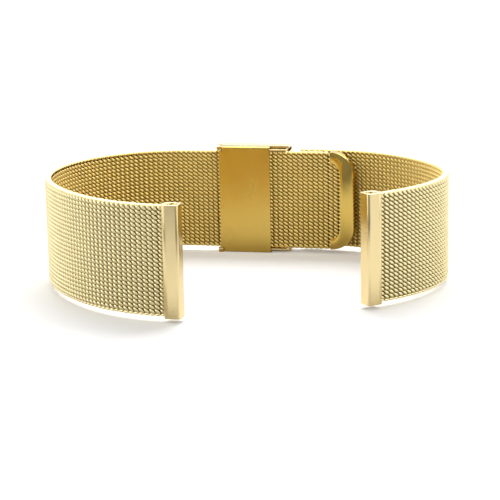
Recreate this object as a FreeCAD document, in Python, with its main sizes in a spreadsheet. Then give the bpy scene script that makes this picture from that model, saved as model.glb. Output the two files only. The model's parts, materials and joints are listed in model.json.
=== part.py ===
import FreeCAD, Part
import math
import os

# Milanese mesh band, closed at its sliding clasp and standing on its long edges.
# X runs along the clasp, Y points away from the wrist behind it and Z points up.
# Each mesh strap is cut into sections that turn on one another where coil rows would bend.

SIZES = {
    # The woven strap
    "strap_width": 19.2,
    "mesh_thick": 1.4,
    "knuckle_radius": 0.65,
    "knuckle_gap": 0.15,
    "rib_pitch": 2.0,
    "rib_cut": 0.6,
    "rib_depth": 0.3,
    # The long strap, from the tail through the clasp to its end cap
    "lead_length": 5.0,
    "tail_length": 7.7,
    "tip_length": 5.6,
    "tip_turn": 12.0,
    "long_section": 15.9,
    "long_turn_one": 47.0,
    "long_turn_two": 37.0,
    "long_turn_three": 35.0,
    "long_turn_four": 23.0,
    "long_turn_five": 34.0,
    # The short strap, from the ring to its end cap
    "short_section": 15.0,
    "short_turn_one": 37.0,
    "short_turn_two": 26.0,
    "short_turn_three": 48.0,
    "short_turn_four": 30.0,
    # The tubes that hold the spring bars
    "cap_rim": 0.15,
    "cap_length": 3.1,
    "cap_thick": 2.8,
    "cap_shoulder": 0.9,
    "cap_corner": 0.45,
    "bore_radius": 1.0,
    "bore_setback": 1.4,
    "cap_grip": 0.5,
    # The binding round the tail
    "binding_sheet": 0.2,
    "binding_end": 2.5,
    "binding_arm": 1.7,
    "binding_corner": 4.2,
    # The channel that slides on the long strap
    "channel_length": 13.8,
    "floor_sheet": 0.4,
    "wall_sheet": 0.35,
    "mesh_play": 0.15,
    "side_play": 0.1,
    "wall_play": 0.05,
    "lid_play": 0.2,
    "flange_gap": 0.06,
    "cover_sheet": 0.4,
    "formed_corner": 0.35,
    # The locking plate against the wrist
    "lock_length": 10.0,
    "lock_setback": 0.65,
    "lock_pin_radius": 0.3,
    "lock_ear_radius": 0.55,
    "lock_pin_setback": 0.65,
    "lock_flange": 1.05,
    "ridge_length": 0.6,
    "ridge_setback": 0.9,
    "ridge_height": 0.1,
    # The safety cover away from the wrist
    "cover_overrun": 0.4,
    "cover_pin_radius": 0.5,
    "cover_pin_setback": 0.75,
    "cover_pin_depth": 1.0,
    "cover_ear_radius": 0.9,
    "cover_overhang": 0.1,
    "cover_flange_gap": 0.3,
    # The hook and the ring that hangs on it
    "hook_sheet": 0.5,
    "hook_width": 13.0,
    "hook_setback": 2.2,
    "hook_base": 5.0,
    "hook_lip": 2.4,
    "hook_play": 0.1,
    "ring_wire_radius": 0.55,
    "ring_corner": 1.2,
    "ring_side_gap": 0.25,
    "ring_slope": 6.0,
    "cover_play": 0.15,
    # The sleeve that ties the short strap to the ring
    "sleeve_gap": 0.1,
    "sleeve_sheet": 0.35,
    "sleeve_length": 5.2,
    "sleeve_jaw": 0.95,
    "sleeve_grip": 4.0,
    "sleeve_slope": 1.0,
    # Fits
    "pin_play": 0.03,
    "ring_play": 0.06,
    "corner_play": 0.1,
}

LONG_TURNS = ["long_turn_one", "long_turn_two", "long_turn_three", "long_turn_four", "long_turn_five"]
SHORT_TURNS = ["short_turn_one", "short_turn_two", "short_turn_three", "short_turn_four"]

# Places across the clasp, counted outward from the strap's middle plane
CHANNEL_INNER = "(strap_width / 2 + side_play)"
CHANNEL_OUTER = f"({CHANNEL_INNER} + wall_sheet)"
FLANGE_INNER = f"({CHANNEL_OUTER} + flange_gap)"
FLANGE_OUTER = f"({FLANGE_INNER} + cover_sheet)"

# Places through the clasp, counted outward from the mesh's inner face
LOCK_OUTER = "(0 - mesh_play)"
LOCK_INNER = f"({LOCK_OUTER} - cover_sheet)"
LOCK_PIN_Y = f"({LOCK_OUTER} - cover_sheet / 3)"
WALL_START = f"({LOCK_OUTER} + wall_play)"
FLOOR_INNER = "(mesh_thick + mesh_play)"
FLOOR_OUTER = f"({FLOOR_INNER} + floor_sheet)"
HOOK_OUTER = f"({FLOOR_OUTER} + hook_sheet)"
HOOK_BEND = "(ring_wire_radius + hook_play)"
HOOK_AXIS_Y = f"({HOOK_OUTER} + {HOOK_BEND})"
LIP_OUTER = f"({HOOK_AXIS_Y} + {HOOK_BEND} + hook_sheet)"
COVER_INNER = f"({LIP_OUTER} + cover_play)"
COVER_OUTER = f"({COVER_INNER} + cover_sheet)"
COVER_PIN_Y = f"({COVER_INNER} - cover_pin_depth)"
WALL_END = f"({COVER_INNER} - lid_play)"
LOCK_FLANGE_END = f"({LOCK_OUTER} + lock_flange)"
COVER_FLANGE_END = f"({LOCK_FLANGE_END} + cover_flange_gap)"

# Places along the clasp, counted from the channel's left end
HOOK_AXIS_X = "(channel_length - hook_setback)"
LOCK_END = "(lock_setback + lock_length)"
TIP_START = "(channel_length + tail_length)"

HALF_MESH = "(mesh_thick / 2)"
HALF_STRAP = "(strap_width / 2)"
HALF_TAIL = f"({HALF_STRAP} - binding_sheet)"
SOCKET = "(knuckle_radius + knuckle_gap)"
SLEEVE_OUTER = f"({HALF_MESH} + sleeve_sheet)"
RING_ARM = f"({CHANNEL_INNER} - ring_side_gap - ring_wire_radius)"
RING_PITCH = f"(hook_setback + cover_overrun + sleeve_gap + {SLEEVE_OUTER})"
COVER_END = "(channel_length + cover_overrun)"

UP = FreeCAD.Vector(0, 0, 1)

DOC = FreeCAD.newDocument("MeshBand")
SHEET = DOC.addObject("Spreadsheet::Sheet", "Sizes")


def fill_sheet():
    """One row for each size: its name and its plain number."""
    for row, (name, value) in enumerate(SIZES.items(), start=1):
        SHEET.set(f"A{row}", name)
        SHEET.set(f"B{row}", str(value))
        SHEET.setAlias(f"B{row}", name)
    DOC.recompute()


def cells(text):
    """The expression with each size's name pointing at its cell."""
    word = ""
    out = ""
    for letter in text + " ":
        if letter.isalnum() or letter == "_":
            word += letter
            continue
        out += f"Sizes.{word}" if word in SIZES else word
        out += letter
        word = ""
    return out.strip()


class Piece:
    """One body made of added and removed blocks and rounds, all bound to the sheet."""

    def __init__(self, label):
        self.body = DOC.addObject("PartDesign::Body", label)
        self.body.Label = label

    def feature(self, kind, shape, bound, x, y, z, turned=None):
        """A primitive in the body with its sizes and its corner or axis bound."""
        made = self.body.newObject(f"PartDesign::{kind}{shape}", f"{self.body.Label}_{shape}")
        made.Placement = FreeCAD.Placement(FreeCAD.Vector(), turned or FreeCAD.Rotation())
        for name, text in bound.items():
            made.setExpression(name, cells(text))
        for name, text in (("x", x), ("y", y), ("z", z)):
            made.setExpression(f"Placement.Base.{name}", cells(text))
        return made

    def block(self, x, y, z, kind="Additive"):
        """A block between two places on each axis."""
        bound = {
            "Length": f"{x[1]} - ({x[0]})",
            "Width": f"{y[1]} - ({y[0]})",
            "Height": f"{z[1]} - ({z[0]})",
        }
        return self.feature(kind, "Box", bound, x[0], y[0], z[0])

    def round(self, radius, x, y, z, kind="Additive", angle="360", turn=0.0):
        """An upright cylinder, or a slice of one, between two heights."""
        bound = {"Radius": radius, "Height": f"{z[1]} - ({z[0]})", "Angle": angle}
        return self.feature(kind, "Cylinder", bound, x, y, z[0], FreeCAD.Rotation(UP, turn))

    def fillet(self, radius, wanted):
        """Rounds the edges of the body so far that the test accepts."""
        DOC.recompute()
        base = self.body.Tip
        names = [f"Edge{n}" for n, edge in enumerate(base.Shape.Edges, start=1) if wanted(edge)]
        made = self.body.newObject("PartDesign::Fillet", f"{self.body.Label}_Fillet")
        made.Base = (base, names)
        made.setExpression("Radius", cells(radius))
        return made

    def place(self, x, y, heading=0.0):
        """Stands the piece in the band, turned about its own upright axis."""
        self.body.Placement = FreeCAD.Placement(
            FreeCAD.Vector(x, y, 0), FreeCAD.Rotation(UP, heading)
        )
        return self


def both_ways(half):
    """From minus to plus a half width."""
    return (f"0 - {half}", half)


def radius_of(length, turn):
    """The bend radius of a section of this length that turns this many degrees."""
    return f"({length} * 180 / (pi * {turn}))"


def mesh_section(label, length, turn, start, finish):
    """A strap section that bends to the left, from its start at the origin along X.

    Each end is a knuckle, a socket, plain, or a straight run of a named length.
    """
    bend = radius_of(length, turn)
    height = both_ways(HALF_STRAP)
    piece = Piece(label)
    piece.round(f"{bend} + {HALF_MESH}", "0", bend, height, angle=turn, turn=-90.0)
    piece.round(f"{bend} - {HALF_MESH}", "0", bend, height, "Subtractive")
    end_x = f"{bend} * sin({turn})"
    end_y = f"{bend} - {bend} * cos({turn})"
    for end, x, y in ((start, "0", "0"), (finish, end_x, end_y)):
        if end == "knuckle":
            piece.round("knuckle_radius", x, y, height)
        if end == "socket":
            piece.round(SOCKET, x, y, height, "Subtractive")
    if start in SIZES:
        piece.block((f"0 - {start}", "0"), both_ways(HALF_MESH), height)
    if finish in SIZES:
        run = piece.block(("0", finish), both_ways(HALF_MESH), height)
        run.setExpression("Placement.Rotation.Angle", cells(turn))
        corner = f"({bend} + {HALF_MESH})"
        run.setExpression("Placement.Base.x", cells(f"{corner} * sin({turn})"))
        run.setExpression("Placement.Base.y", cells(f"{bend} - {corner} * cos({turn})"))
    return piece


def cut_ribs(piece, length, turn):
    """Grooves across both faces of a bent section, which leave a rib for every second coil."""
    bend = radius_of(length, turn)
    count = int(SIZES[length] / SIZES["rib_pitch"]) - 1
    for number in range(1, count + 1):
        angle = f"({turn} * ({number} - {count} / 2 - 0.5) * rib_pitch / {length} + {turn} / 2)"
        for reach in (
            f"({bend} + {HALF_MESH} + rib_cut - rib_depth)",
            f"({bend} - {HALF_MESH} - rib_cut + rib_depth)",
        ):
            x, y = f"{reach} * sin({angle})", f"{bend} - {reach} * cos({angle})"
            piece.round("rib_cut", x, y, both_ways(HALF_STRAP), "Subtractive")


def straight_mesh(label):
    """The strap's flat run through the clasp, with a knuckle at each end."""
    height = both_ways(HALF_STRAP)
    piece = Piece(label)
    piece.block(("0 - lead_length", TIP_START), ("0", "mesh_thick"), height)
    for x in ("0 - lead_length", TIP_START):
        piece.round("knuckle_radius", x, HALF_MESH, height)
    return piece


def upright(edge):
    """True for a straight edge along Z."""
    low, high = edge.Vertexes[0].Point, edge.Vertexes[-1].Point
    return math.hypot(high.x - low.x, high.y - low.y) < 1e-6 and abs(high.z - low.z) > 1e-6


def end_cap(label):
    """A rounded tube across the strap's end, bored for a spring bar."""
    piece = Piece(label)
    height = both_ways(f"({HALF_STRAP} + cap_rim)")
    piece.block(("0", "cap_length"), both_ways("(cap_thick / 2)"), height)
    piece.fillet("cap_shoulder", lambda edge: upright(edge) and edge.Vertexes[0].Point.x < 1e-6)
    far = SIZES["cap_length"] - 1e-6
    piece.fillet("cap_corner", lambda edge: upright(edge) and edge.Vertexes[0].Point.x > far)
    piece.round("bore_radius", "cap_length - bore_setback", "0", height, "Subtractive")
    slot = (f"0 - {HALF_STRAP}", HALF_STRAP)
    piece.block(("0", "cap_grip"), both_ways(HALF_MESH), slot, "Subtractive")
    return piece


def both_walls(low, high):
    """The same stretch above and below the strap's middle plane."""
    return ((low, high), (f"0 - {high}", f"0 - {low}"))


def clasp_channel():
    """The sliding channel: a floor behind the mesh and a wall along each edge of it."""
    piece = Piece("clasp_channel")
    length = ("0", "channel_length")
    piece.block(length, (FLOOR_INNER, FLOOR_OUTER), both_ways(CHANNEL_OUTER))
    for wall in both_walls(CHANNEL_INNER, CHANNEL_OUTER):
        piece.block(length, (WALL_START, COVER_PIN_Y), wall)
        piece.block(("cover_pin_setback", "channel_length"), (COVER_PIN_Y, WALL_END), wall)
        piece.round("cover_pin_setback", "cover_pin_setback", COVER_PIN_Y, wall)
        piece.round("lock_ear_radius", "lock_pin_setback", LOCK_PIN_Y, wall)
        hole = "cover_pin_radius + pin_play"
        piece.round(hole, "cover_pin_setback", COVER_PIN_Y, wall, "Subtractive")
        hole = "lock_pin_radius + pin_play"
        piece.round(hole, "lock_pin_setback", LOCK_PIN_Y, wall, "Subtractive")
    return piece


def hook_tongue():
    """A strip welded on the channel's floor, bent back over the ring's bar."""
    piece = Piece("hook_tongue")
    width = both_ways("(hook_width / 2)")
    piece.round(f"{HOOK_BEND} + hook_sheet", HOOK_AXIS_X, HOOK_AXIS_Y, width, angle="180", turn=-90.0)
    piece.round(HOOK_BEND, HOOK_AXIS_X, HOOK_AXIS_Y, width, "Subtractive")
    piece.block((f"({HOOK_AXIS_X} - hook_base)", HOOK_AXIS_X), (FLOOR_OUTER, HOOK_OUTER), width)
    inner = f"({HOOK_AXIS_Y} + {HOOK_BEND})"
    piece.block((f"({HOOK_AXIS_X} - hook_lip)", HOOK_AXIS_X), (inner, LIP_OUTER), width)
    return piece


def along_clasp(edge, depth):
    """True for an outer long edge of a formed plate at this depth."""
    low, high = edge.Vertexes[0].Point, edge.Vertexes[-1].Point
    flat = abs(high.y - low.y) < 1e-6 and abs(high.z - low.z) < 1e-6
    width = SIZES["strap_width"] / 2 + SIZES["side_play"] + SIZES["wall_sheet"]
    width += SIZES["flange_gap"] + SIZES["cover_sheet"]
    return flat and abs(low.y - depth) < 1e-6 and abs(abs(low.z) - width) < 1e-6


def locking_plate():
    """The plate against the wrist: its ridge bites the mesh when it is pressed shut."""
    piece = Piece("locking_plate")
    sheet = (LOCK_INNER, LOCK_OUTER)
    piece.block(("lock_setback", LOCK_END), sheet, both_ways(FLANGE_OUTER))
    slot = ("0", "(lock_pin_setback + lock_ear_radius + side_play)")
    for wall in both_walls(HALF_STRAP, FLANGE_INNER):
        piece.block(slot, sheet, wall, "Subtractive")
    for flange in both_walls(FLANGE_INNER, FLANGE_OUTER):
        piece.block(("lock_pin_setback", LOCK_END), (LOCK_INNER, LOCK_FLANGE_END), flange)
        piece.round("lock_ear_radius", "lock_pin_setback", LOCK_PIN_Y, flange)
        piece.round("lock_pin_radius", "lock_pin_setback", LOCK_PIN_Y, flange, "Subtractive")
    ridge_end = f"({LOCK_END} - ridge_setback)"
    ridge = (f"({ridge_end} - ridge_length)", ridge_end)
    height = (LOCK_OUTER, f"({LOCK_OUTER} + ridge_height)")
    piece.block(ridge, height, both_ways(f"({HALF_STRAP} - ridge_setback)"))
    depth = 0 - SIZES["mesh_play"] - SIZES["cover_sheet"]
    piece.fillet("formed_corner", lambda edge: along_clasp(edge, depth))
    return piece


def lock_pin(label, side):
    """A short pin through one flange of the locking plate and one wall of the channel."""
    piece = Piece(label)
    lengths = both_walls(CHANNEL_INNER, FLANGE_OUTER)
    piece.round("lock_pin_radius", "lock_pin_setback", LOCK_PIN_Y, lengths[side])
    return piece


def safety_cover():
    """The cover that folds over the hook and keeps the ring in it."""
    piece = Piece("safety_cover")
    start = "(cover_pin_setback - cover_overhang)"
    piece.block((start, COVER_END), (COVER_INNER, COVER_OUTER), both_ways(FLANGE_OUTER))
    for flange in both_walls(FLANGE_INNER, FLANGE_OUTER):
        piece.block(("cover_pin_setback", COVER_END), (COVER_FLANGE_END, COVER_OUTER), flange)
        piece.round("cover_ear_radius", "cover_pin_setback", COVER_PIN_Y, flange)
        piece.round("cover_pin_radius", "cover_pin_setback", COVER_PIN_Y, flange, "Subtractive")
    depth = cover_depth()
    piece.fillet("formed_corner", lambda edge: along_clasp(edge, depth))
    return piece


def hook_axis_depth():
    """How far the ring's bar lies outward of the mesh's inner face."""
    layers = ("mesh_thick", "mesh_play", "floor_sheet", "hook_sheet", "ring_wire_radius", "hook_play")
    return sum(SIZES[name] for name in layers)


def cover_depth():
    """How far the cover's outer face lies outward of the mesh's inner face."""
    layers = ("ring_wire_radius", "hook_play", "hook_sheet", "cover_play", "cover_sheet")
    return hook_axis_depth() + sum(SIZES[name] for name in layers)


def cover_pin():
    """The pin that the safety cover swings on."""
    piece = Piece("cover_pin")
    piece.round("cover_pin_radius", "cover_pin_setback", COVER_PIN_Y, both_ways(FLANGE_OUTER))
    return piece


def hook_ring():
    """A closed wire ring with one bar in the hook and the other in the sleeve."""
    piece = Piece("hook_ring")
    straight = f"({RING_ARM} - ring_corner)"
    flat = FreeCAD.Rotation(FreeCAD.Vector(1, 0, 0), 90)
    lying = FreeCAD.Rotation(FreeCAD.Vector(0, 1, 0), 90)
    near, far = "ring_corner", f"{RING_PITCH} - ring_corner"
    low, high = f"0 - {straight}", straight
    piece.round("ring_wire_radius", "0", "0", both_ways(straight))
    for x, z, quarter in ((near, high, 90), (near, low, 180)):
        ring_bend(piece, x, z, flat * FreeCAD.Rotation(UP, quarter))
    for z in (RING_ARM, f"0 - {RING_ARM}"):
        bound = {"Radius": "ring_wire_radius", "Height": f"{far} - {near}"}
        piece.feature("Additive", "Cylinder", bound, near, "0", z, lying)
    for x, z, quarter in ((far, high, 0), (far, low, 270)):
        ring_bend(piece, x, z, flat * FreeCAD.Rotation(UP, quarter))
    piece.round("ring_wire_radius", RING_PITCH, "0", both_ways(straight))
    return piece


def ring_bend(piece, x, z, turned):
    """A quarter bend of the ring's wire."""
    bound = {"Radius1": "ring_corner", "Radius2": "ring_wire_radius", "Angle3": "90"}
    piece.feature("Additive", "Torus", bound, x, "0", z, turned)


def ring_sleeve():
    """The sleeve clamped on the short strap, with a knuckle round the ring's far bar."""
    piece = Piece("ring_sleeve")
    thick = both_ways(SLEEVE_OUTER)
    knuckle = both_ways(f"({RING_ARM} - ring_corner - corner_play)")
    piece.round(SLEEVE_OUTER, "0", "0", knuckle)
    piece.block(("0", "sleeve_jaw"), thick, knuckle)
    piece.block(("sleeve_jaw", "sleeve_length"), thick, both_ways(HALF_STRAP))
    piece.round("ring_wire_radius + ring_play", "0", "0", knuckle, "Subtractive")
    slot = ("(sleeve_length - sleeve_grip)", "sleeve_length")
    piece.block(slot, both_ways(HALF_MESH), both_ways(HALF_STRAP), "Subtractive")
    return piece


def solid(kind, name, bound, x, y, z, turned=None):
    """A free primitive with its sizes and its corner or axis bound."""
    made = DOC.addObject(f"Part::{kind}", name)
    made.Placement = FreeCAD.Placement(FreeCAD.Vector(), turned or FreeCAD.Rotation())
    for prop, text in bound.items():
        made.setExpression(prop, cells(text))
    for axis, text in (("x", x), ("y", y), ("z", z)):
        made.setExpression(f"Placement.Base.{axis}", cells(text))
    return made


def pair(kind, name, base, tool):
    """One solid cut by another, or what the two share."""
    made = DOC.addObject(f"Part::{kind}", name)
    made.Base = base
    made.Tool = tool
    return made


def rounded_plate(name, start, half, corner):
    """A deep plate whose two corners at the start are round, for cutting the tail's shape."""
    deep = "tip_length"
    long = f"(tip_length + tip_length - {start})"
    turned = FreeCAD.Rotation(FreeCAD.Vector(1, 0, 0), -90)
    tall = {"Length": f"{long} - {corner}", "Width": f"2 * {deep}", "Height": f"2 * {half}"}
    body = solid("Box", f"{name}_body", tall, f"{start} + {corner}", f"0 - {deep}", f"0 - {half}")
    inside = f"({half} - {corner})"
    low = {"Length": long, "Width": f"2 * {deep}", "Height": f"2 * {inside}"}
    middle = solid("Box", f"{name}_middle", low, start, f"0 - {deep}", f"0 - {inside}")
    bound = {"Radius": corner, "Height": f"2 * {deep}"}
    x = f"{start} + {corner}"
    top = solid("Cylinder", f"{name}_top", bound, x, f"0 - {deep}", inside, turned)
    bottom = solid("Cylinder", f"{name}_bottom", bound, x, f"0 - {deep}", f"0 - {inside}", turned)
    made = DOC.addObject("Part::MultiFuse", name)
    made.Shapes = [body, middle, top, bottom]
    return made


def bent_strip(name, spare, half, length):
    """A strip of the tail's bend, thicker than the mesh by a spare on each face."""
    bend = radius_of("tip_length", "tip_turn")
    slope = FreeCAD.Rotation(UP, -90)
    angle = f"tip_turn * {length} / tip_length"
    outer = {"Radius": f"{bend} + {HALF_MESH} + {spare}", "Height": f"2 * {half}", "Angle": angle}
    inner = {"Radius": f"{bend} - {HALF_MESH} - {spare}", "Height": f"2 * {half}"}
    whole = solid("Cylinder", f"{name}_outer", outer, "0", bend, f"0 - {half}", slope)
    core = solid("Cylinder", f"{name}_inner", inner, "0", bend, f"0 - {half}")
    return pair("Cut", name, whole, core)


def tail_mesh(label):
    """The last bent stretch of the long strap, with its two corners cut round."""
    strip = bent_strip(f"{label}_strip", "0", HALF_TAIL, "tip_length")
    plate = rounded_plate(f"{label}_plate", "0", HALF_TAIL, "binding_corner")
    shaped = pair("Common", f"{label}_shaped", strip, plate)
    bend = radius_of("tip_length", "tip_turn")
    bound = {"Radius": SOCKET, "Height": "strap_width"}
    x, y = f"{bend} * sin(tip_turn)", f"{bend} - {bend} * cos(tip_turn)"
    socket = solid("Cylinder", f"{label}_socket", bound, x, y, f"0 - {HALF_STRAP}")
    return pair("Cut", label, shaped, socket)


def tail_binding(label):
    """The polished channel folded round the tail's end and both its corners."""
    length = f"(tip_length - {SOCKET} - knuckle_gap)"
    strip = bent_strip(f"{label}_strip", "binding_sheet", HALF_STRAP, length)
    bound = {
        "Length": "binding_sheet",
        "Width": f"2 * ({HALF_MESH} + binding_sheet)",
        "Height": f"2 * {HALF_STRAP}",
    }
    y = f"0 - {HALF_MESH} - binding_sheet"
    end = solid("Box", f"{label}_end", bound, "0 - binding_sheet", y, f"0 - {HALF_STRAP}")
    wrap = DOC.addObject("Part::MultiFuse", f"{label}_wrap")
    wrap.Shapes = [strip, end]
    corner = "(binding_corner + binding_sheet)"
    plate = rounded_plate(f"{label}_plate", "(0 - binding_sheet)", HALF_STRAP, corner)
    outline = pair("Common", f"{label}_outline", wrap, plate)
    filling = pair(
        "Common",
        f"{label}_filling",
        bent_strip(f"{label}_core", "0", HALF_TAIL, "tip_length"),
        rounded_plate(f"{label}_core_plate", "0", HALF_TAIL, "binding_corner"),
    )
    hollow = pair("Cut", f"{label}_hollow", outline, filling)
    inside = f"({HALF_TAIL} - binding_arm)"
    window = rounded_plate(f"{label}_window", "binding_end", inside, "(binding_corner - binding_arm)")
    return pair("Cut", label, hollow, window)


def onward(x, y, heading, length, turn):
    """Where a section leads, with its turn in degrees and positive to the left."""
    low = math.radians(heading)
    high = math.radians(heading + turn)
    bend = length / (high - low)
    x += bend * (math.sin(high) - math.sin(low))
    y += bend * (math.cos(low) - math.cos(high))
    return x, y, heading + turn


def long_route():
    """The joints of the long strap from the clasp, each with the strap's heading."""
    route = [(-SIZES["lead_length"], SIZES["mesh_thick"] / 2, 180.0)]
    for turn in LONG_TURNS:
        route.append(onward(*route[-1], SIZES["long_section"], SIZES[turn]))
    return route


def ring_pitch():
    """How far apart the ring's two bars lie, so that the sleeve just clears the cover."""
    steps = ("hook_setback", "cover_overrun", "sleeve_gap", "sleeve_sheet")
    return sum(SIZES[name] for name in steps) + SIZES["mesh_thick"] / 2


def ring_bars():
    """The axes of the ring's bar in the hook and of its bar in the sleeve."""
    near_x = SIZES["channel_length"] - SIZES["hook_setback"]
    near_y = hook_axis_depth()
    slope = math.radians(SIZES["ring_slope"])
    far_x = near_x + ring_pitch() * math.cos(slope)
    far_y = near_y + ring_pitch() * math.sin(slope)
    return (near_x, near_y), (far_x, far_y)


def short_route():
    """The joints of the short strap from the sleeve's end, each with the strap's heading."""
    x, y = ring_bars()[1]
    slope = SIZES["sleeve_slope"]
    x += SIZES["sleeve_length"] * math.cos(math.radians(slope))
    y += SIZES["sleeve_length"] * math.sin(math.radians(slope))
    route = [(x, y, slope)]
    for turn in SHORT_TURNS:
        route.append(onward(*route[-1], SIZES["short_section"], -SIZES[turn]))
    return route


def stand(made, label, x, y, heading):
    """Names a combined solid and stands it in the band."""
    made.Label = label
    made.Placement = FreeCAD.Placement(FreeCAD.Vector(x, y, 0), FreeCAD.Rotation(UP, heading))
    return made


def long_strap():
    """The long strap's pieces, from the tail to the end cap."""
    tip_x = SIZES["channel_length"] + SIZES["tail_length"]
    tip = onward(tip_x, SIZES["mesh_thick"] / 2, 0.0, SIZES["tip_length"], -SIZES["tip_turn"])
    back = (tip[0], tip[1], tip[2] + 180.0)
    made = [
        stand(tail_mesh("tail_mesh"), "tail_mesh", *back),
        stand(tail_binding("tail_binding"), "tail_binding", *back),
        straight_mesh("long_mesh_straight").body,
    ]
    route = long_route()
    for number, turn in enumerate(LONG_TURNS, start=1):
        finish = "knuckle" if number < len(LONG_TURNS) else "cap_grip"
        section = mesh_section(f"long_mesh_{number}", "long_section", turn, "socket", finish)
        cut_ribs(section, "long_section", turn)
        made.append(section.place(*route[number - 1]).body)
    made.append(end_cap("long_strap_cap").place(*route[-1]).body)
    return made


def short_strap():
    """The short strap's pieces, from the ring to the end cap."""
    (near_x, near_y), (far_x, far_y) = ring_bars()
    made = [
        hook_ring().place(near_x, near_y, SIZES["ring_slope"]).body,
        ring_sleeve().place(far_x, far_y, SIZES["sleeve_slope"]).body,
    ]
    route = short_route()
    for number, turn in enumerate(SHORT_TURNS, start=1):
        start = "knuckle" if number < len(SHORT_TURNS) else "cap_grip"
        finish = "socket" if number > 1 else "sleeve_grip"
        section = mesh_section(f"short_mesh_{number}", "short_section", turn, start, finish)
        cut_ribs(section, "short_section", turn)
        x, y, heading = route[number]
        made.append(section.place(x, y, heading + 180.0).body)
    made.append(end_cap("short_strap_cap").place(*route[-1]).body)
    return made


def clasp():
    """The clasp's own pieces."""
    made = [clasp_channel(), hook_tongue(), locking_plate(), lock_pin("lock_pin_upper", 0)]
    made += [lock_pin("lock_pin_lower", 1), safety_cover(), cover_pin()]
    return [piece.body for piece in made]


def centre(pieces):
    """The middle of the band's footprint, and how far its lowest edge lies below the middle plane."""
    whole = Part.makeCompound([piece.Shape for piece in pieces]).optimalBoundingBox(False, False)
    return (whole.XMin + whole.XMax) / 2, (whole.YMin + whole.YMax) / 2, -whole.ZMin


def check(pieces):
    """Stops on an object that failed or a piece that is empty or broken."""
    for thing in DOC.Objects:
        if "Invalid" in thing.State or "Error" in thing.State:
            raise RuntimeError(f"{thing.Label} failed: {thing.State}")
    for piece in pieces:
        shape = piece.Shape
        if shape.isNull() or not shape.isValid() or len(shape.Solids) != 1:
            raise RuntimeError(f"{piece.Label} is not one valid solid")


def build():
    """Every piece of the band, standing with its footprint's middle at the origin."""
    fill_sheet()
    pieces = clasp() + long_strap() + short_strap()
    DOC.recompute()
    check(pieces)
    x, y, z = centre(pieces)
    for piece in pieces:
        place = piece.Placement
        place.Base += FreeCAD.Vector(-x, -y, z)
        piece.Placement = place
    DOC.recompute()
    check(pieces)
    return pieces, (x, y, z)


def export(pieces):
    """One file for each piece, named after it."""
    os.makedirs("parts", exist_ok=True)
    for piece in pieces:
        piece.Shape.exportStep(f"parts/{piece.Label}.step")


if __name__ == "__main__":
    built, shift = build()
    export(built)
    print(f"{len(built)} pieces, shifted by {shift}")
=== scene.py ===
import json
import math

import bmesh
import bpy
from mathutils import Matrix, Vector


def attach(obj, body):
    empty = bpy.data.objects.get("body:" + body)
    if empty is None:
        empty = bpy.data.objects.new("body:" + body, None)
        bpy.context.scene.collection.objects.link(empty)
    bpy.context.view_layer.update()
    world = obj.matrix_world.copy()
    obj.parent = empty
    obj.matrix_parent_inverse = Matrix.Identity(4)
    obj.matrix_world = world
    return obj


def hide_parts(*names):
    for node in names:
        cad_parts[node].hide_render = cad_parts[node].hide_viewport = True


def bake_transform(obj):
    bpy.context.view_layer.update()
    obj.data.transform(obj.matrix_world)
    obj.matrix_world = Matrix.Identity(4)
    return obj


bl_info = {
    "name": "Milanese mesh band",
    "version": (1, 0, 0),
    "blender": (4, 5, 0),
    "location": "3D View > Sidebar > Mesh band",
    "description": "Wire mesh, polished fittings and a white studio around the packed mesh band",
    "category": "Add Mesh",
}

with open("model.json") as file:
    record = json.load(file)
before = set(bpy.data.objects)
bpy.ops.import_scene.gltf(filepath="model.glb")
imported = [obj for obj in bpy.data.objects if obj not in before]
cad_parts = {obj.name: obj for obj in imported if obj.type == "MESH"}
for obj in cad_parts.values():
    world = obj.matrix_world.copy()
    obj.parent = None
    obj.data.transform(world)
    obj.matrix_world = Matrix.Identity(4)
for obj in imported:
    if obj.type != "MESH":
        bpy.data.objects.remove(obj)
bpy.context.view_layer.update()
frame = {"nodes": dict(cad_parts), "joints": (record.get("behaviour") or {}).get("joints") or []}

MM = 0.001
PIVOTS = {
    joint["name"]: Vector(joint["pos_m"]) for joint in frame["joints"] if joint.get("pos_m")}
CLASP_EDGE = PIVOTS["long_flex_1"]
STRAP_MIDDLE = CLASP_EDGE.z

# The camera's place from the clasp's edge, as fitted to the photograph
CAMERA_FROM_CLASP = Vector((77.118, -321.470, 65.140)) * MM

# How each strap bends from the clasp to its end cap, one turn in degrees for each section
LONG_TURNS = (47.0, 37.0, 35.0, 23.0, 34.0)
SHORT_TURNS = (-37.0, -26.0, -48.0, -30.0)

# Stretches of the clasp's straight run that go into the pieces over the tail's joint and over the
# first section's joint
TAIL_BEND = 2.2 * MM
CLASP_BEND = 4.0 * MM

# How far the strap may miss a packed joint
STRAP_MISS = 0.05 * MM


# ---------------------------------------------------------------- settings


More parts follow.
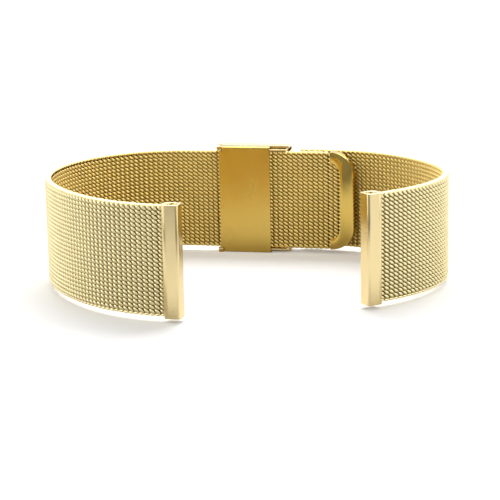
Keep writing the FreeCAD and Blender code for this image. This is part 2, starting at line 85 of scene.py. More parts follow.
class MeshSettings(bpy.types.PropertyGroup):
    """Sizes of the woven wire."""

    row_pitch: bpy.props.FloatProperty(
        name="Coil spacing", description="Distance from one coil to the next along the strap",
        default=1.0 * MM, min=0.0005, unit="LENGTH")
    turn_pitch: bpy.props.FloatProperty(
        name="Turn spacing", description="Distance from one turn of a coil to the next",
        default=0.738 * MM, min=0.0003, unit="LENGTH")
    half_width: bpy.props.FloatProperty(
        name="Half width", description="Half the strap's width, over its wire",
        default=9.6 * MM, min=0.001, unit="LENGTH")
    steps: bpy.props.IntProperty(
        name="Steps", description="Faces along one turn of the wire", default=16, min=6, max=40)
    sides: bpy.props.IntProperty(
        name="Sides", description="Faces round the wire", default=5, min=4, max=16)
    wire_radius: bpy.props.FloatProperty(
        name="Wire radius", description="Half the thickness of the coiled wire",
        default=0.29 * MM, min=0.00005, unit="LENGTH")
    coil_width: bpy.props.FloatProperty(
        name="Coil width", description="Width of a coil along the strap, over its wire",
        default=1.82 * MM, min=0.0005, unit="LENGTH")
    thickness: bpy.props.FloatProperty(
        name="Thickness", description="Thickness of the mesh, over its wire",
        default=1.4 * MM, min=0.0005, unit="LENGTH")
    face_height: bpy.props.FloatProperty(
        name="Face height",
        description="Height of the wire where it lies on a face, in its own widths",
        default=1.25, min=0.2, max=2.0)
    end_height: bpy.props.FloatProperty(
        name="End height",
        description="Height of the wire where it dives between two coils, in its own widths",
        default=0.30, min=0.2, max=2.0)
    slant: bpy.props.FloatProperty(
        name="Slant", description="How far a wire on the face drops for each unit along the strap",
        default=0.48, min=0.0, max=1.0)
    rim_height: bpy.props.FloatProperty(
        name="Rim height", description="Height of the fused coil ends at the strap's edges",
        default=0.50 * MM, min=0.0001, unit="LENGTH")
    rim_depth: bpy.props.FloatProperty(
        name="Rim depth", description="Depth of the fused coil ends through the strap",
        default=1.10 * MM, min=0.0002, unit="LENGTH")


class StrapSettings(bpy.types.PropertyGroup):
    """The straps' run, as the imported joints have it."""

    long_section: bpy.props.FloatProperty(
        name="Long section", description="Length of a bent section of the long strap",
        default=15.9 * MM, min=0.001, unit="LENGTH")
    short_section: bpy.props.FloatProperty(
        name="Short section", description="Length of a bent section of the short strap",
        default=15.0 * MM, min=0.001, unit="LENGTH")
    tip_length: bpy.props.FloatProperty(
        name="Tip length", description="Length of the tail's bent tip",
        default=5.6 * MM, min=0.001, unit="LENGTH")
    tip_turn: bpy.props.FloatProperty(
        name="Tip turn", description="How far the tail's tip bends towards the wrist",
        default=math.radians(12.0), subtype="ANGLE")
    sleeve_slope: bpy.props.FloatProperty(
        name="Sleeve slope", description="Heading of the short strap where it leaves its sleeve",
        default=math.radians(1.0), subtype="ANGLE")
    grip: bpy.props.FloatProperty(
        name="Cap grip", description="How far the last coil's own stretch goes into an end cap",
        default=0.28 * MM, min=0.0, unit="LENGTH")
    sleeve_grip: bpy.props.FloatProperty(
        name="Sleeve grip", description="How far the mesh goes into the ring's sleeve",
        default=4.0 * MM, min=0.0, unit="LENGTH")
    binding: bpy.props.FloatProperty(
        name="Binding", description="Length of the tail that the binding holds stiff",
        default=4.6 * MM, min=0.0, unit="LENGTH")
    binding_sheet: bpy.props.FloatProperty(
        name="Binding sheet", description="Thickness of the binding round the tail",
        default=0.2 * MM, min=0.0, unit="LENGTH")
    binding_corner: bpy.props.FloatProperty(
        name="Binding corner", description="Radius of the tail's two corners in the binding",
        default=4.2 * MM, min=0.0, unit="LENGTH")


class FinishSettings(bpy.types.PropertyGroup):
    """Colours and gloss of the gold finish."""

    gold: bpy.props.FloatVectorProperty(
        name="Polished gold", description="Colour that the polished fittings reflect",
        default=(0.91, 0.74, 0.39), size=3, min=0.0, max=1.0, subtype="COLOR")
    # The plate colour is a darker, deeper gold than the other fittings, standing for the gold that
    # the plate and binding mirror: painted reflection and shade
    plate: bpy.props.FloatVectorProperty(
        name="Plate gold", description="Colour that the locking plate and the binding reflect",
        default=(0.66, 0.46, 0.11), size=3, min=0.0, max=1.0, subtype="COLOR")
    wire: bpy.props.FloatVectorProperty(
        name="Wire gold",
        description="Colour that the mesh wire reflects on the strap's outer face",
        default=(1.0, 0.85, 0.49), size=3, min=0.0, max=1.0, subtype="COLOR")
    # The inner wire colour is a darker, deeper gold standing for the gold that the wrist's side
    # sees mirrored from the band: painted reflection and shade
    shaded_inner_wire: bpy.props.FloatVectorProperty(
        name="Inner wire gold",
        description="Colour that the mesh wire reflects on the wrist's side",
        default=(0.91, 0.70, 0.26), size=3, min=0.0, max=1.0, subtype="COLOR")
    # The recess colour is painted shade: it darkens the wire deep inside the mesh in place of real
    # shadow
    recess_shade: bpy.props.FloatVectorProperty(
        name="Recess", description="Share of the wire's colour that is left deep inside the mesh",
        default=(0.020, 0.012, 0.004), size=3, min=0.0, max=1.0, subtype="COLOR")
    gloss: bpy.props.FloatProperty(
        name="Roughness", description="Roughness of the polished fittings",
        default=0.15, min=0.0, max=1.0, subtype="FACTOR")
    wire_gloss: bpy.props.FloatProperty(
        name="Wire roughness", description="Roughness of the mesh wire",
        default=0.30, min=0.0, max=1.0, subtype="FACTOR")


class StageSettings(bpy.types.PropertyGroup):
    """Camera, floor and light."""

    camera: bpy.props.FloatVectorProperty(
        name="Camera", description="Where the camera stands", size=3,
        default=CLASP_EDGE + CAMERA_FROM_CLASP, subtype="XYZ", unit="LENGTH")
    heading: bpy.props.FloatProperty(
        name="Heading", description="Turn of the camera about the upright axis",
        default=math.radians(11.59), subtype="ANGLE")
    tilt: bpy.props.FloatProperty(
        name="Tilt", description="How far the camera looks down",
        default=math.radians(12.95), subtype="ANGLE")
    roll: bpy.props.FloatProperty(
        name="Roll", description="Turn of the camera about its own line of sight",
        default=math.radians(-1.179), subtype="ANGLE")
    lens: bpy.props.FloatProperty(
        name="Lens", description="Focal length for a sensor 36 mm wide",
        default=122.4, min=20.0, unit="CAMERA")
    floor_size: bpy.props.FloatProperty(
        name="Floor", description="Length of a side of the floor",
        default=6.0, min=0.5, unit="LENGTH")
    pale: bpy.props.FloatProperty(
        name="Floor paint", description="How much of the light the floor throws back",
        default=0.84, min=0.0, max=1.0, subtype="FACTOR")
    glow: bpy.props.FloatProperty(
        name="Floor glow", description="Light that is added to the floor for the camera alone",
        default=0.22, min=0.0, max=1.0)
    room: bpy.props.FloatProperty(
        name="Room light", description="Strength of the room's even light",
        default=0.38, min=0.0, max=2.0)
    bright: bpy.props.FloatProperty(
        name="Bright side", description="How bright the room's sides and top look in a reflection",
        default=1.25, min=0.0, max=2.0)
    dim: bpy.props.FloatProperty(
        name="Dim front", description="How bright the room's front looks in a reflection",
        default=0.34, min=0.0, max=2.0)
    lamp: bpy.props.FloatProperty(
        name="Lamp light", description="Power of the soft lamp behind the band",
        default=6.6, min=0.0, unit="POWER")
    fill: bpy.props.FloatProperty(
        name="Fill light", description="Power of the left one of the two lamps in front",
        default=1.15, min=0.0, unit="POWER")


# ---------------------------------------------------------------- materials


class Socket:
    """Wraps an output socket so that sums and products add Math nodes."""

    def __init__(self, finish, link):
        self.finish = finish
        self.link = link

    def maths(self, operation, *values):
        """Adds a Math node on sockets and numbers."""
        return self.finish.node("ShaderNodeMath", {"operation": operation}, values)

    def __add__(self, other):
        return self.maths("ADD", self, other)

    def __radd__(self, other):
        return self.maths("ADD", other, self)

    def __sub__(self, other):
        return self.maths("SUBTRACT", self, other)

    def __rsub__(self, other):
        return self.maths("SUBTRACT", other, self)

    def __mul__(self, other):
        return self.maths("MULTIPLY", self, other)

    def __rmul__(self, other):
        return self.maths("MULTIPLY", other, self)


class Finish:
    """A material or a world and the nodes in it."""

    def __init__(self, owner):
        owner.use_nodes = True
        self.owner = owner
        self.tree = owner.node_tree
        self.tree.nodes.clear()

    def node(self, kind, settings=None, values=(), output=0):
        """Adds a node, sets it up and links or fills its sockets."""
        made = self.tree.nodes.new(kind)
        for name, value in (settings or {}).items():
            setattr(made, name, value)
        pairs = values.items() if isinstance(values, dict) else enumerate(values)
        for key, value in pairs:
            if isinstance(value, Socket):
                self.tree.links.new(value.link, made.inputs[key])
            else:
                made.inputs[key].default_value = value
        return Socket(self, made.outputs[output]) if len(made.outputs) else made

    def place(self):
        """Object coordinates, which are the direction in a world."""
        return self.node("ShaderNodeTexCoord", output="Object")

    def attribute(self, name):
        """A number that each vertex carries."""
        return self.node("ShaderNodeAttribute", {"attribute_name": name}, output="Fac")

    def noise(self, fineness, detail=3.0, stretch=(1.0, 1.0, 1.0)):
        """Noise between 0 and 1 that may be stretched along an axis."""
        mapped = self.node("ShaderNodeMapping", {}, {"Vector": self.place(), "Scale": stretch})
        return self.node("ShaderNodeTexNoise", {}, {
            "Vector": mapped, "Scale": fineness, "Detail": detail})

    def mix(self, factor, low, high, blend="MIX"):
        """Two colours, or links to colours, mixed by a factor."""
        low, high = (
            colour if isinstance(colour, Socket) else (*colour, 1.0) for colour in (low, high))
        return self.node(
            "ShaderNodeMix", {"data_type": "RGBA", "blend_type": blend, "clamp_factor": True},
            {0: factor, 6: low, 7: high}, output=2)

    def smooth_step(self, value, low, high, start=0.0, end=1.0):
        """From start to end while the value goes from low to high."""
        return self.node("ShaderNodeMapRange", {"interpolation_type": "SMOOTHSTEP"}, {
            "Value": value, "From Min": low, "From Max": high, "To Min": start, "To Max": end})

    def bump(self, height, strength, distance):
        """A normal that follows a height."""
        return self.node("ShaderNodeBump", {}, {
            "Strength": strength, "Distance": distance, "Height": height})

    def metal(self, colour, roughness, normal):
        """Ends the material in a metal surface."""
        shader = self.node("ShaderNodeBsdfPrincipled", {}, {
            "Base Color": colour, "Metallic": 1.0, "Roughness": roughness, "Normal": normal})
        self.node("ShaderNodeOutputMaterial", {}, {"Surface": shader})
        return self.owner


# Fineness of each pattern, in waves per metre
CLOUD, SMEAR = 120.0, 350.0
WIRE_CLOUD, WIRE_WEAR = 420.0, 300.0
RIM_CLOUD, RIM_WEAR = 700.0, 500.0
GRAIN = 1800.0

# Darkest and lightest share of a colour that polishing and wear leave
PLATE_SHARES = (0.84, 1.08)
OUTER_SHARES = (0.93, 1.05)
INNER_SHARES = (0.90, 1.08)

# Strength and height of the bumps
PLATE_BUMP = (0.3, 0.2 * MM)
WIRE_BUMP = (0.10, 0.02 * MM)
RIM_BUMP = (0.15, 0.03 * MM)

# How much each pattern adds to the roughness, and how much its even part is lowered for that
PLATE_CLOUDY, PLATE_SMEARED, PLATE_LOWERED = 0.10, 0.12, 0.10
WIRE_CLOUDY, WIRE_DEEP, WIRE_LOWERED = 0.10, 0.30, 0.05
RIM_CLOUDY, RIM_LOWERED = 0.12, 0.02

# How much less the painted shade darkens the mesh in its depths on the wrist's side
INNER_LIFT = 0.35

# Streaks that run upright, and streaks that run along the clasp
UPRIGHT, ALONG = (1.0, 1.0, 0.05), (0.05, 1.0, 1.0)

# Extra roughness of the locking plate and of the channel
PLATE_SATIN, CHANNEL_SATIN = 0.10, 0.08


def shades(colour, shares):
    """The colour times each share, up to 1."""
    return [tuple(min(1.0, part * share) for part in colour) for share in shares]


def polished_gold(name, tint, gloss, streak):
    """Plated gold with faint polishing lines and cloudy gloss."""
    finish = Finish(bpy.data.materials.new(name))
    cloud = finish.noise(CLOUD)
    smear = finish.noise(SMEAR, detail=1.0, stretch=streak)
    colour = finish.mix(cloud * 0.5 + smear * 0.5, *shades(tint, PLATE_SHARES))
    roughness = cloud * PLATE_CLOUDY + smear * PLATE_SMEARED + (gloss - PLATE_LOWERED)
    return finish.metal(colour, roughness, finish.bump(cloud, *PLATE_BUMP))


def wire_colour(finish, inside, fineness):
    """The wire's colour, a little worn in places, going from the outer face to a darker, deeper
    gold on the wrist's side that is painted reflection and shade.
    """
    look = bpy.context.scene.band_finish
    wear = finish.noise(fineness)
    outer = finish.mix(wear, *shades(look.wire, OUTER_SHARES))
    inner = finish.mix(wear, *shades(look.shaded_inner_wire, INNER_SHARES))
    return finish.mix(inside, outer, inner)


def wire_gold():
    """Gold wire with painted shade that darkens it towards the inside of the mesh."""
    look = bpy.context.scene.band_finish
    finish = Finish(bpy.data.materials.new("wire_gold"))
    inside = finish.attribute("inside")
    depth = finish.attribute("recess_shade")
    # Painted shade: the wire's colour is multiplied down towards the recess shade colour deep in
    # the mesh
    left = finish.mix(depth * (1 - inside * INNER_LIFT), (1.0, 1.0, 1.0), look.recess_shade)
    colour = finish.mix(1.0, wire_colour(finish, inside, WIRE_WEAR), left, blend="MULTIPLY")
    even = look.wire_gloss - WIRE_LOWERED
    roughness = finish.noise(WIRE_CLOUD) * WIRE_CLOUDY + depth * WIRE_DEEP + even
    grain = finish.noise(GRAIN, detail=2.0)
    return finish.metal(colour, roughness, finish.bump(grain, *WIRE_BUMP))


def rim_gold():
    """The smooth fused edge of the mesh, with the same painted reflection and shade on the wrist's
    side as the wire.
    """
    look = bpy.context.scene.band_finish
    finish = Finish(bpy.data.materials.new("rim_gold"))
    colour = wire_colour(finish, finish.attribute("inside"), RIM_WEAR)
    roughness = finish.noise(RIM_CLOUD) * RIM_CLOUDY + (look.wire_gloss - RIM_LOWERED)
    grain = finish.noise(GRAIN, detail=2.0)
    return finish.metal(colour, roughness, finish.bump(grain, *RIM_BUMP))


# ---------------------------------------------------------------- mesh wire

# Where the wire, on its way round a coil, comes to lie on a face, as the sine of its angle
FACE_START, FACE_SPAN = 0.60, 0.34

# The wire's thickness where it dives between two coils, and how softly its slant turns over
DIVE_THICKNESS = 0.75
SLANT_TURN = 0.1 * MM

# Share of the way from the middle to a face where the painted shade on the wire starts, and how
# fast it deepens
DARK_START, DARK_RATE = 0.70, 3.0

# Sizes of the dark core rod, painted as shade, and of the fused pads, in coil spacings, and the
# pads' rounding
CORE_HALF, PAD_LENGTH = 0.56, 0.96
PAD_ROUND = 0.46


def clamped(value):
    """The value kept between 0 and 1."""
    return min(1.0, max(0.0, value))


def kept_mesh(bm, name):
    """The finished mesh data of a shape."""
    data = bpy.data.meshes.new(name)
    bm.to_mesh(data)
    bm.free()
    return data


def coil_mesh(half_width):
    """One coil of the mesh, upright about the origin, flattened and slanted."""
    size = bpy.context.scene.band_mesh
    bm = bmesh.new()
    recess_shade = bm.verts.layers.float.new("recess_shade")
    inside = bm.verts.layers.float.new("inside")
    reach = size.coil_width / 2 - size.wire_radius
    deep = size.thickness / 2 - size.wire_radius
    low = size.wire_radius - half_width
    turns = -2 * low / size.turn_pitch
    ring = bmesh.ops.create_circle(bm, segments=size.sides, radius=size.wire_radius)["verts"]
    stand = Matrix.Translation((deep, 0, low)) @ Matrix.Rotation(math.radians(90), 4, "X")
    bmesh.ops.transform(bm, matrix=stand, verts=ring)
    steps = round(turns * size.steps)
    bmesh.ops.spin(
        bm, geom=ring + list({edge for vert in ring for edge in vert.link_edges}), axis=(0, 0, 1),
        cent=(0, 0, 0), dvec=(0, 0, -2 * low / steps), angle=-math.tau * turns, steps=steps)
    for vert in bm.verts:
        x, y, z = vert.co
        angle = math.atan2(y, x)
        part = -angle / math.tau
        whole = round((z - low) / size.turn_pitch - part)
        middle = low + (whole + part) * size.turn_pitch
        face = clamped((abs(math.sin(angle)) - FACE_START) / FACE_SPAN)
        face *= face * (3 - 2 * face)
        thick = DIVE_THICKNESS + (1 - DIVE_THICKNESS) * face
        outward = (math.hypot(x, y) - deep) * thick
        tall = (z - middle) * (size.end_height + (size.face_height - size.end_height) * face)
        line = (reach * math.cos(angle), deep * math.sin(angle))
        lean = size.slant * line[0] * line[1] / (abs(line[1]) + SLANT_TURN)
        vert.co = (
            line[0] + outward * math.cos(angle), line[1] + outward * math.sin(angle),
            max(-half_width, min(half_width, middle + tall + lean)))
        # Painted shade: how far the wire is darkened for lying deep in the mesh
        vert[recess_shade] = clamped((DARK_START - 2 * abs(vert.co.y) / size.thickness) * DARK_RATE)
        # Which side the wire lies on, which picks the painted reflection and shade of the wrist's
        # side
        vert[inside] = clamped(0.5 - 2 * vert.co.y / size.thickness)
    bmesh.ops.recalc_face_normals(bm, faces=bm.faces)
    return kept_mesh(bm, "coil")


def core_mesh(half_width):
    """The dark core of one coil: an upright rod that fills the coil from side to side, painted
    fully dark as shade that hides the view through the mesh.
    """
    size = bpy.context.scene.band_mesh
    bm = bmesh.new()
    recess_shade = bm.verts.layers.float.new("recess_shade")
    inside = bm.verts.layers.float.new("inside")
    deep = size.thickness / 2 - 2 * size.wire_radius
    bmesh.ops.create_cone(
        bm, cap_ends=True, segments=8, radius1=deep, radius2=deep,
        depth=2 * (half_width - size.rim_height / 2))
    widen = Matrix.Diagonal((size.row_pitch * CORE_HALF / deep, 1, 1, 1))
    bmesh.ops.transform(bm, matrix=widen, verts=bm.verts)
    for vert in bm.verts:
        # Painted shade: the whole rod takes the darkest recess shade colour
        vert[recess_shade] = 1.0
        vert[inside] = clamped(0.5 - vert.co.y / deep)
    return kept_mesh(bm, "core")


def rim_mesh():
    """The fused end of one coil: a small rounded pad."""
    size = bpy.context.scene.band_mesh
    bm = bmesh.new()
    inside = bm.verts.layers.float.new("inside")
    pad = bmesh.ops.create_cube(bm, size=1.0)["verts"]
    shape = Matrix.Diagonal((size.row_pitch * PAD_LENGTH, size.rim_depth, size.rim_height, 1))
    bmesh.ops.transform(bm, matrix=shape, verts=pad)
    bmesh.ops.bevel(
        bm, geom=bm.edges[:] + bm.verts[:], offset=size.rim_height * PAD_ROUND, affect="EDGES",
        segments=2, profile=0.5, material=-1)
    for vert in bm.verts:
        vert[inside] = clamped(0.5 - vert.co.y / size.rim_depth)
    return kept_mesh(bm, "rim")


# ---------------------------------------------------------------- straps


def run_on(x, y, heading, length, turn):
    """Where a run of this length ends that turns this many radians to the left."""
    if abs(turn) < 1e-9:
        return x + length * math.cos(heading), y + length * math.sin(heading), heading
    bend = length / turn
    x += bend * (math.sin(heading + turn) - math.sin(heading))
    y += bend * (math.cos(heading) - math.cos(heading + turn))
    return x, y, heading + turn


class Strap:
    """A strap's middle line as straight and round runs, with the side that is outward."""

    def __init__(self, start, runs, outward):
        self.runs = runs
        self.outward = outward
        self.starts = [start]
        for length, turn in runs:
            self.starts.append(run_on(*self.starts[-1], length, turn))
        self.length = sum(length for length, turn in runs)

    def at(self, distance):
        """The place and heading at this distance along the strap."""
        for start, (length, turn) in zip(self.starts, self.runs):
            if distance <= length:
                return run_on(*start, distance, turn * distance / length)
            distance -= length
        x, y, heading = self.starts[-1]
        return run_on(x, y, heading, distance, 0.0)

    def matrix(self, distance):
        """Stands a coil at this distance, with its Y axis outward."""
        x, y, heading = self.at(distance)
        if self.outward == "right":
            heading += math.pi
        return Matrix.Translation((x, y, STRAP_MIDDLE)) @ Matrix.Rotation(heading, 4, "Z")

    def point(self, distance):
        """The middle of the strap at this distance."""
        x, y, heading = self.at(distance)
        return Vector((x, y, STRAP_MIDDLE))

    def check(self, joint, distance):
        """Stops the script where the strap misses a packed joint."""
        miss = (self.point(distance) - PIVOTS[joint]).xy.length
        if miss > STRAP_MISS:
            raise RuntimeError(f"the strap misses {joint} by {miss / MM:.2f} mm")


def long_strap():
    """From the tail's tip through the clasp to the end cap."""
    size = bpy.context.scene.band_strap
    tail = PIVOTS["tail_flex"]
    x, y, heading = run_on(tail.x, tail.y, 0.0, size.tip_length, -size.tip_turn)
    runs = [(size.tip_length, size.tip_turn), (tail.x - CLASP_EDGE.x, 0.0)]
    runs += [(size.long_section, math.radians(turn)) for turn in LONG_TURNS]
    runs += [(size.grip, 0.0)]
    return Strap((x, y, heading + math.pi), runs, "right")


def short_strap():
    """From inside the ring's sleeve to the end cap."""
    size = bpy.context.scene.band_strap
    first = PIVOTS["short_flex_1"]
    turn = math.radians(SHORT_TURNS[0])
    heading = size.sleeve_slope + turn + math.pi
    back = run_on(first.x, first.y, heading, size.short_section, -turn)
    x, y, heading = run_on(*back, size.sleeve_grip, 0.0)
    runs = [(size.sleeve_grip, 0.0)]
    runs += [(size.short_section, math.radians(turn)) for turn in SHORT_TURNS]
    runs += [(size.grip, 0.0)]
    return Strap((x, y, heading - math.pi), runs, "left")


def strap_half(distance):
    """Half the strap's width, all along it."""
    return bpy.context.scene.band_mesh.half_width


def tail_half(distance):
    """Half the mesh's width at this distance from the tail's end, inside its binding."""
    size = bpy.context.scene.band_strap
    corner = size.binding_corner
    inner = strap_half(distance) - size.binding_sheet
    short = max(0.0, corner - distance)
    return inner - corner + math.sqrt(corner * corner - short * short)


def weave(name, strap, start, finish, half_at=strap_half):
    """The coils of a strap whose middles lie between two distances, as one piece."""
    size = bpy.context.scene.band_mesh
    total = round(strap.length / size.row_pitch)
    pitch = strap.length / total
    bm = bmesh.new()
    rim = rim_mesh()
    coils, cores = {}, {}
    for row in range(total):
        distance = (row + 0.5) * pitch
        if not start <= distance < finish:
            continue
        half = half_at(distance)
        if half not in coils:
            coils[half], cores[half] = coil_mesh(half), core_mesh(half)
        stand = strap.matrix(distance)
        top = half - size.rim_height / 2
        parts = [(coils[half], stand, 0), (cores[half], stand, 0)]
        parts += [(rim, stand @ Matrix.Translation((0, 0, z)), 1) for z in (top, -top)]
        for data, matrix, slot in parts:
            verts, faces = len(bm.verts), len(bm.faces)
            bm.from_mesh(data)
            bm.verts.ensure_lookup_table()
            bm.faces.ensure_lookup_table()
            bmesh.ops.transform(bm, matrix=matrix, verts=bm.verts[verts:])
            for face in bm.faces[faces:]:
                face.smooth = True
                face.material_index = slot
    for data in (rim, *coils.values(), *cores.values()):
        bpy.data.meshes.remove(data)
    made = kept_mesh(bm, name)
    for material in ("wire_gold", "rim_gold"):
        made.materials.append(bpy.data.materials[material])
    piece = bpy.data.objects.new(name, made)
    bpy.context.scene.collection.objects.link(piece)
    return piece


def weave_bends(label, strap, start, finishes, bodies, nodes):
    """A piece over each joint, up to each finish in turn, left in place in the world."""
    for number, finish in enumerate(finishes):
        piece = weave(f"{label}_{number + 1}", strap, start, finish)
        before, after = bodies[number:number + 2]
        strap.point(start)
        strap.point(finish)
        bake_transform(piece)
        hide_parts(nodes[number])
        start = finish


class BAND_OT_long_mesh(bpy.types.Operator):
    """Weaves the long strap from the tail to its end cap"""

    bl_idname = "band.long_mesh"
    bl_label = "Weave long strap"

    def execute(self, context):
        size = context.scene.band_strap
        strap = long_strap()
        sections = range(1, len(LONG_TURNS) + 1)
        first = size.tip_length + (PIVOTS["tail_flex"].x - CLASP_EDGE.x)
        joints = [first + size.long_section * (number - 1) for number in sections]
        for number, joint in zip(sections, joints):
            strap.check(f"long_flex_{number}", joint)

        bend_end = size.tip_length + TAIL_BEND
        tip = weave("mesh_tail_tip", strap, MM, size.binding, tail_half)
        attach(tip, "tail_tip")
        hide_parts("tail_mesh")
        tail = weave("mesh_tail_bend", strap, size.binding, bend_end)
        strap.point(size.binding)
        strap.point(bend_end)
        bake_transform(tail)

        mouth = first - CLASP_BEND
        run = weave("mesh_clasp_run", strap, bend_end, mouth)
        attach(run, "long_strap_run")
        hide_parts("long_mesh_straight")

        finishes = [joint + size.long_section / 2 for joint in joints]
        bodies = ["long_strap_run"] + [f"long_strap_{number}" for number in sections]
        nodes = [f"long_mesh_{number}" for number in sections]
        weave_bends("mesh_long_bend", strap, mouth, finishes, bodies, nodes)
        end = weave("mesh_long_end", strap, finishes[-1], strap.length + MM)
        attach(end, bodies[-1])
        return {"FINISHED"}


class BAND_OT_short_mesh(bpy.types.Operator):
    """Weaves the short strap from the ring's sleeve to its end cap"""

    bl_idname = "band.short_mesh"
    bl_label = "Weave short strap"

    def execute(self, context):
        size = context.scene.band_strap
        strap = short_strap()
        sections = range(1, len(SHORT_TURNS) + 1)
        joints = [size.sleeve_grip + size.short_section * number for number in sections[:-1]]
        for number, joint in zip(sections, joints):
            strap.check(f"short_flex_{number}", joint)

        bodies = [f"short_strap_{number}" for number in sections]
        nodes = [f"short_mesh_{number}" for number in sections]
        half = size.short_section / 2
        start = joints[0] - half
        first = weave("mesh_short_start", strap, 0.0, start)
        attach(first, bodies[0])
        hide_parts(nodes[0])
        finishes = [joint + half for joint in joints]
        weave_bends("mesh_short_bend", strap, start, finishes, bodies, nodes[1:])
        end = weave("mesh_short_end", strap, finishes[-1], strap.length + MM)
        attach(end, bodies[-1])
        return {"FINISHED"}


# ---------------------------------------------------------------- fittings

# Rounding of each packed fitting's sharp edges
EDGE_ROUNDS = {
    "long_strap_cap": 0.14 * MM,
    "short_strap_cap": 0.14 * MM,
    "safety_cover": 0.08 * MM,
    "cover_pin": 0.08 * MM,
    "clasp_channel": 0.06 * MM,
    "hook_tongue": 0.06 * MM,
    "ring_sleeve": 0.06 * MM,
    "tail_binding": 0.05 * MM,
    "lock_pin_upper": 0.05 * MM,
    "lock_pin_lower": 0.05 * MM,
}
SHARP = math.radians(40)


class BAND_OT_finishes(bpy.types.Operator):
    """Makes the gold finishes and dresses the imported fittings"""

    bl_idname = "band.finishes"
    bl_label = "Make finishes"

    def execute(self, context):
        look = context.scene.band_finish
        gloss = look.gloss
        wire_gold()
        rim_gold()
        for name, tint, rough, streak, nodes in (
            ("cap_gold", look.gold, gloss, UPRIGHT, ("long_strap_cap", "short_strap_cap")),
            # The plate and the binding take the darker plate colour, which is painted reflection
            # and shade
            ("plate_gold", look.plate, gloss + PLATE_SATIN, UPRIGHT, ("locking_plate",)),
            ("binding_gold", look.plate, gloss, UPRIGHT, ("tail_binding",)),
            ("cover_gold", look.gold, gloss, ALONG, ("safety_cover",)),
            ("channel_gold", look.gold, gloss + CHANNEL_SATIN, ALONG,
             ("clasp_channel", "hook_tongue", "ring_sleeve")),
            ("pin_gold", look.gold, gloss, UPRIGHT,
             ("lock_pin_upper", "lock_pin_lower", "cover_pin", "hook_ring")),
        ):
            material = polished_gold(name, tint, rough, streak)
            for node in (frame["nodes"][label] for label in nodes):
                node.data.materials.clear()
                node.data.materials.append(material)
        return {"FINISHED"}


class BAND_OT_edges(bpy.types.Operator):
    """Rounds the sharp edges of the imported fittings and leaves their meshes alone"""

    bl_idname = "band.edges"
    bl_label = "Round edges"

    def execute(self, context):
        for label, width in EDGE_ROUNDS.items():
            node = frame["nodes"][label]
            weld = node.modifiers.new("Weld", "WELD")
            weld.merge_threshold = 0.001 * MM
            bevel = node.modifiers.new("Edges", "BEVEL")
            bevel.width = width
            bevel.segments = 2
            bevel.limit_method = "ANGLE"
            bevel.angle_limit = SHARP
        return {"FINISHED"}


# ---------------------------------------------------------------- stage

# The way to the room's dim front, and how near to it reflections start and end dimming
ROOM_FRONT = (0.20, -0.98, 0.0)
ROOM_DIMMING = (0.35, 0.95)

# How far in front of the middle the floor starts and ends dimming in reflections
FLOOR_DIMMING = (0.02, 0.20)
FLOOR_DIM_SHARE = 0.8

# Where the soft lamps hang, all turned to the middle of the floor
BACK, LEFT, RIGHT = (0.0, 0.42, 0.62), (-0.6, -0.45, 0.45), (0.6, -0.45, 0.45)
RIGHT_SHARE = 1.6
LAMP_LENGTH, LAMP_WIDTH = 0.8, 0.5

SENSOR = 36.0
NEAREST, FARTHEST = 0.01, 20.0


def grey(value):
    """A grey with full cover."""
    return (value, value, value, 1.0)


def rays(finish):
    """What the camera sees, itself or through glass, and what a reflection sees."""
    seen = [finish.node("ShaderNodeLightPath", output=name)
            for name in ("Is Camera Ray", "Is Transmission Ray")]
    glossy = finish.node("ShaderNodeLightPath", output="Is Glossy Ray")
    return glossy.maths("MAXIMUM", *seen), glossy


def white_world(size):
    """White to the camera and evenly lit, with a dimmer front in reflections."""
    world = bpy.data.worlds.new("Studio")
    bpy.context.scene.world = world
    room = Finish(world)
    seen, glossy = rays(room)
    ahead = room.node("ShaderNodeVectorMath", {"operation": "DOT_PRODUCT"}, (
        room.place(), ROOM_FRONT), output="Value")
    front = room.smooth_step(ahead, *ROOM_DIMMING, size.bright, size.dim)
    strength = seen + (1 - seen) * (glossy * front + (1 - glossy) * size.room)
    background = room.node("ShaderNodeBackground", {}, {"Color": grey(1.0), "Strength": strength})
    room.node("ShaderNodeOutputWorld", {}, {"Surface": background})


def floor_white(size):
    """White to the camera but for the shadow, and dimmer to the front in reflections."""
    finish = Finish(bpy.data.materials.new("floor_white"))
    seen, glossy = rays(finish)
    back = finish.node("ShaderNodeSeparateXYZ", {}, (finish.place(),), output="Y")
    front = finish.smooth_step(0 - back, *FLOOR_DIMMING)
    pale = finish.node("ShaderNodeBsdfDiffuse", {}, {"Color": grey(size.pale)})
    dim = finish.node("ShaderNodeBsdfDiffuse", {}, {"Color": grey(size.dim * FLOOR_DIM_SHARE)})
    paint = finish.node("ShaderNodeMixShader", {}, (glossy * front, pale, dim))
    glow = finish.node("ShaderNodeEmission", {}, {"Color": grey(1.0), "Strength": size.glow})
    none = finish.node("ShaderNodeEmission", {}, {"Strength": 0.0})
    lift = finish.node("ShaderNodeMixShader", {}, (seen, none, glow))
    both = finish.node("ShaderNodeAddShader", {}, (paint, lift))
    finish.node("ShaderNodeOutputMaterial", {}, {"Surface": both})
    return finish.owner


def lay_floor(size):
    """The floor that the band stands on, which is part of the stage."""
    bm = bmesh.new()
    bmesh.ops.create_grid(bm, x_segments=2, y_segments=2, size=size.floor_size / 2)
    data = kept_mesh(bm, "floor")
    data.materials.append(floor_white(size))
    floor = bpy.data.objects.new("floor", data)
    bpy.context.scene.collection.objects.link(floor)


def hang_lamp(name, power, place):
    """A soft lamp that faces the middle of the floor."""
    light = bpy.data.lights.new(name, "AREA")
    light.shape = "RECTANGLE"
    light.size, light.size_y = LAMP_LENGTH, LAMP_WIDTH
    light.energy = power
    lamp = bpy.data.objects.new(name, light)
    lamp.location = place
    lamp.rotation_euler = (-lamp.location).to_track_quat("-Z", "Y").to_euler()
    bpy.context.scene.collection.objects.link(lamp)


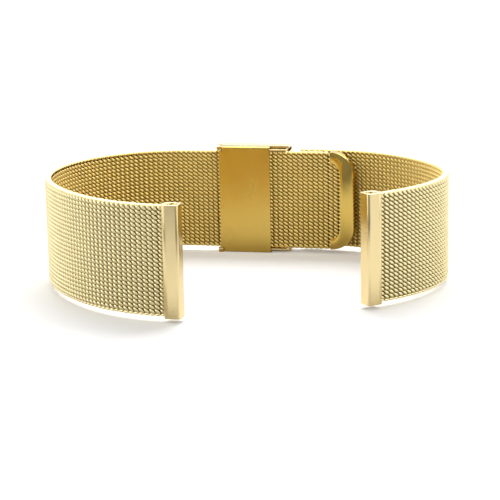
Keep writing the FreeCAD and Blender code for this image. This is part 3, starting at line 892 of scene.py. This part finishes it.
def set_camera(size):
    """The camera, turned, tilted down and rolled about its line of sight."""
    data = bpy.data.cameras.new("Camera")
    data.lens = size.lens
    data.sensor_width = SENSOR
    data.clip_start, data.clip_end = NEAREST, FARTHEST
    camera = bpy.data.objects.new("Camera", data)
    turn, tilt, roll = size.heading, size.tilt, size.roll
    level = Vector((math.cos(turn), math.sin(turn), 0))
    forward = Vector((-math.sin(turn), math.cos(turn), 0))
    ahead = forward * math.cos(tilt) - Vector((0, 0, math.sin(tilt)))
    upward = level.cross(ahead)
    right = math.cos(roll) * level + math.sin(roll) * upward
    above = -math.sin(roll) * level + math.cos(roll) * upward
    basis = Matrix((right, above, -ahead)).transposed().to_4x4()
    camera.matrix_world = Matrix.Translation(size.camera) @ basis
    bpy.context.scene.collection.objects.link(camera)
    bpy.context.scene.camera = camera


class BAND_OT_stage(bpy.types.Operator):
    """Sets the camera, the floor and the light"""

    bl_idname = "band.stage"
    bl_label = "Set stage"

    def execute(self, context):
        size = context.scene.band_stage
        lay_floor(size)
        white_world(size)
        hang_lamp("Back", size.lamp, BACK)
        hang_lamp("Left", size.fill, LEFT)
        hang_lamp("Right", size.fill * RIGHT_SHARE, RIGHT)
        set_camera(size)
        context.scene.view_settings.view_transform = "Standard"
        return {"FINISHED"}


class BAND_PT_panel(bpy.types.Panel):
    """Steps that build the band's look"""

    bl_idname = "BAND_PT_panel"
    bl_label = "Mesh band"
    bl_space_type = "VIEW_3D"
    bl_region_type = "UI"
    bl_category = "Mesh band"

    def draw(self, context):
        for step in STEPS:
            self.layout.operator(step.bl_idname)


STEPS = (BAND_OT_finishes, BAND_OT_edges, BAND_OT_long_mesh, BAND_OT_short_mesh, BAND_OT_stage)
GROUPS = {
    "band_mesh": MeshSettings,
    "band_strap": StrapSettings,
    "band_finish": FinishSettings,
    "band_stage": StageSettings,
}


def register():
    """Adds the settings, the steps and the panel."""
    for kind in (*GROUPS.values(), *STEPS, BAND_PT_panel):
        bpy.utils.register_class(kind)
    for name, group in GROUPS.items():
        setattr(bpy.types.Scene, name, bpy.props.PointerProperty(type=group))


def unregister():
    """Takes the settings, the steps and the panel away."""
    for name in GROUPS:
        delattr(bpy.types.Scene, name)
    for kind in reversed((*GROUPS.values(), *STEPS, BAND_PT_panel)):
        bpy.utils.unregister_class(kind)


def main():
    """Builds every piece in order."""
    register()
    bpy.ops.band.finishes()
    bpy.ops.band.edges()
    bpy.ops.band.long_mesh()
    bpy.ops.band.short_mesh()
    bpy.ops.band.stage()


if __name__ == "__main__":
    main()
